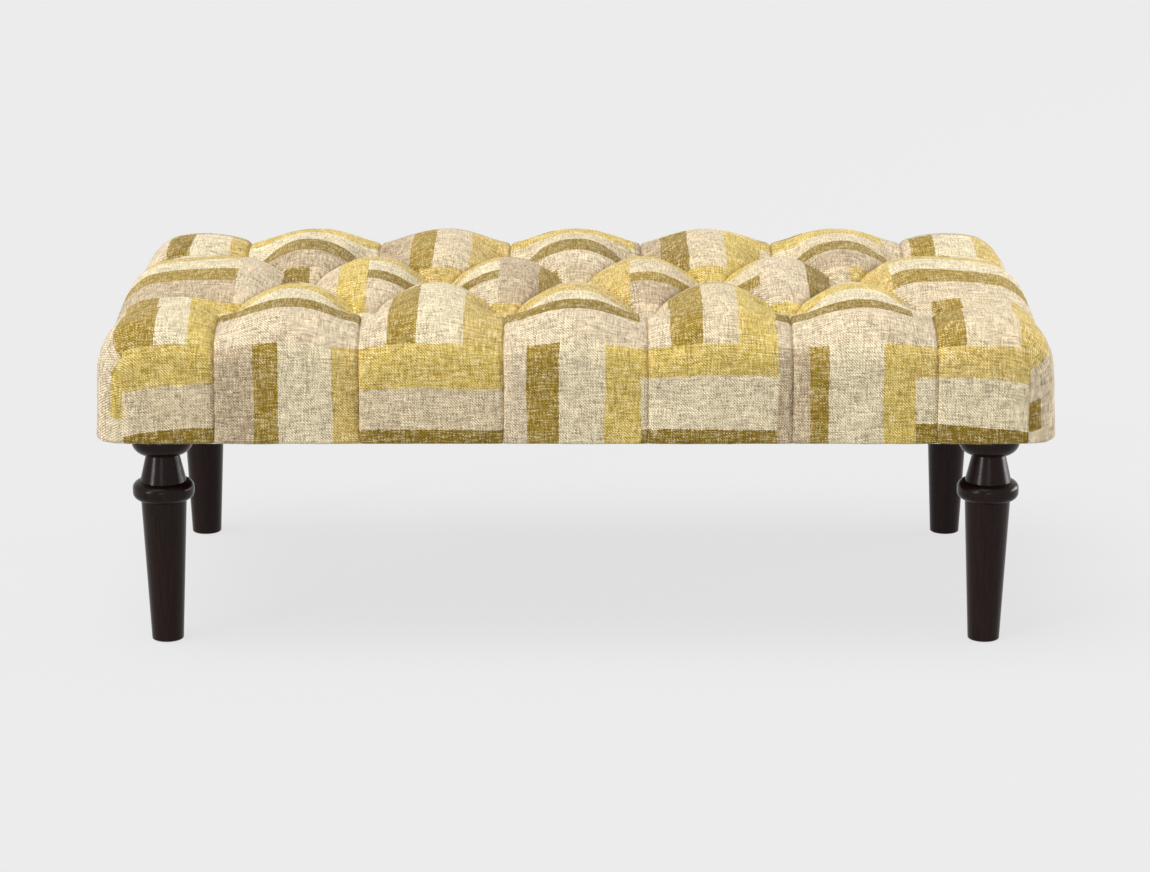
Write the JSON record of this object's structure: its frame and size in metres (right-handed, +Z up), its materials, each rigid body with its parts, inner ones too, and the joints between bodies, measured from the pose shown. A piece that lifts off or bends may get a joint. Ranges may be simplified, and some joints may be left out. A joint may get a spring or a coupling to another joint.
{
  "type": "button tufted footstool",
  "caption": "Long upholstered footstool with a deep diamond tufted seat, covered buttons and turned, stained wooden legs.",
  "frame": {"origin": "on the floor, under the middle of the seat", "axes": "+X to the right along the long side of the seat, +Y to the back, +Z up"},
  "size_m": [1.204, 0.628, 0.441],
  "materials": {
    "cover_cloth": "woven linen with slubs, printed in blocks of cream, greige, mustard and olive bars",
    "button_cloth": "the same cloth stretched over a button shell",
    "leg_wood": "turned hardwood, espresso stain, satin lacquer",
    "frame_wood": "sawn softwood, unfinished",
    "plywood": "sanded plywood, unfinished",
    "dowel_wood": "fluted beech dowel",
    "foam": "flexible polyurethane foam",
    "batting": "polyester wadding",
    "strip_cloth": "plain calico",
    "cambric": "black non-woven dust cover",
    "twine": "waxed linen twine",
    "fibre_board": "pressed fibre board",
    "glide_plastic": "moulded nylon",
    "plated_steel": "zinc plated",
    "staple_wire": "galvanised wire"
  },
  "bodies": {
    "root": {"rail_front": "frame_wood", "rail_back": "frame_wood", "rail_left": "frame_wood", "rail_right": "frame_wood", "cross_rail_left": "frame_wood", "cross_rail_right": "frame_wood", "corner_block_front_left": "frame_wood", "corner_block_front_right": "frame_wood", "corner_block_back_left": "frame_wood", "corner_block_back_right": "frame_wood", "deck_board": "plywood", "foam_block": "foam", "batting": "batting", "cover": "cover_cloth", "pull_strips": "strip_cloth", "dust_cover": "cambric", "leg_front_left": "leg_wood", "leg_front_right": "leg_wood", "leg_back_left": "leg_wood", "leg_back_right": "leg_wood", "glide_front_left": "glide_plastic", "glide_front_right": "glide_plastic", "glide_back_left": "glide_plastic", "glide_back_right": "glide_plastic", "button_front_1": "button_cloth", "button_front_2": "button_cloth", "button_front_3": "button_cloth", "button_front_4": "button_cloth", "button_front_5": "button_cloth", "button_front_6": "button_cloth", "button_middle_1": "button_cloth", "button_middle_2": "button_cloth", "button_middle_3": "button_cloth", "button_middle_4": "button_cloth", "button_middle_5": "button_cloth", "button_back_1": "button_cloth", "button_back_2": "button_cloth", "button_back_3": "button_cloth", "button_back_4": "button_cloth", "button_back_5": "button_cloth", "button_back_6": "button_cloth", "button_backs": "plated_steel", "tufting_twine": "twine", "twine_washers": "fibre_board", "hanger_bolts": "plated_steel", "t_nuts": "plated_steel", "rail_dowels": "dowel_wood", "corner_block_screws": "plated_steel", "deck_screws": "plated_steel", "pull_strip_staples": "staple_wire", "dust_cover_staples": "staple_wire", "glide_nails": "plated_steel"}
  },
  "joints": []
}
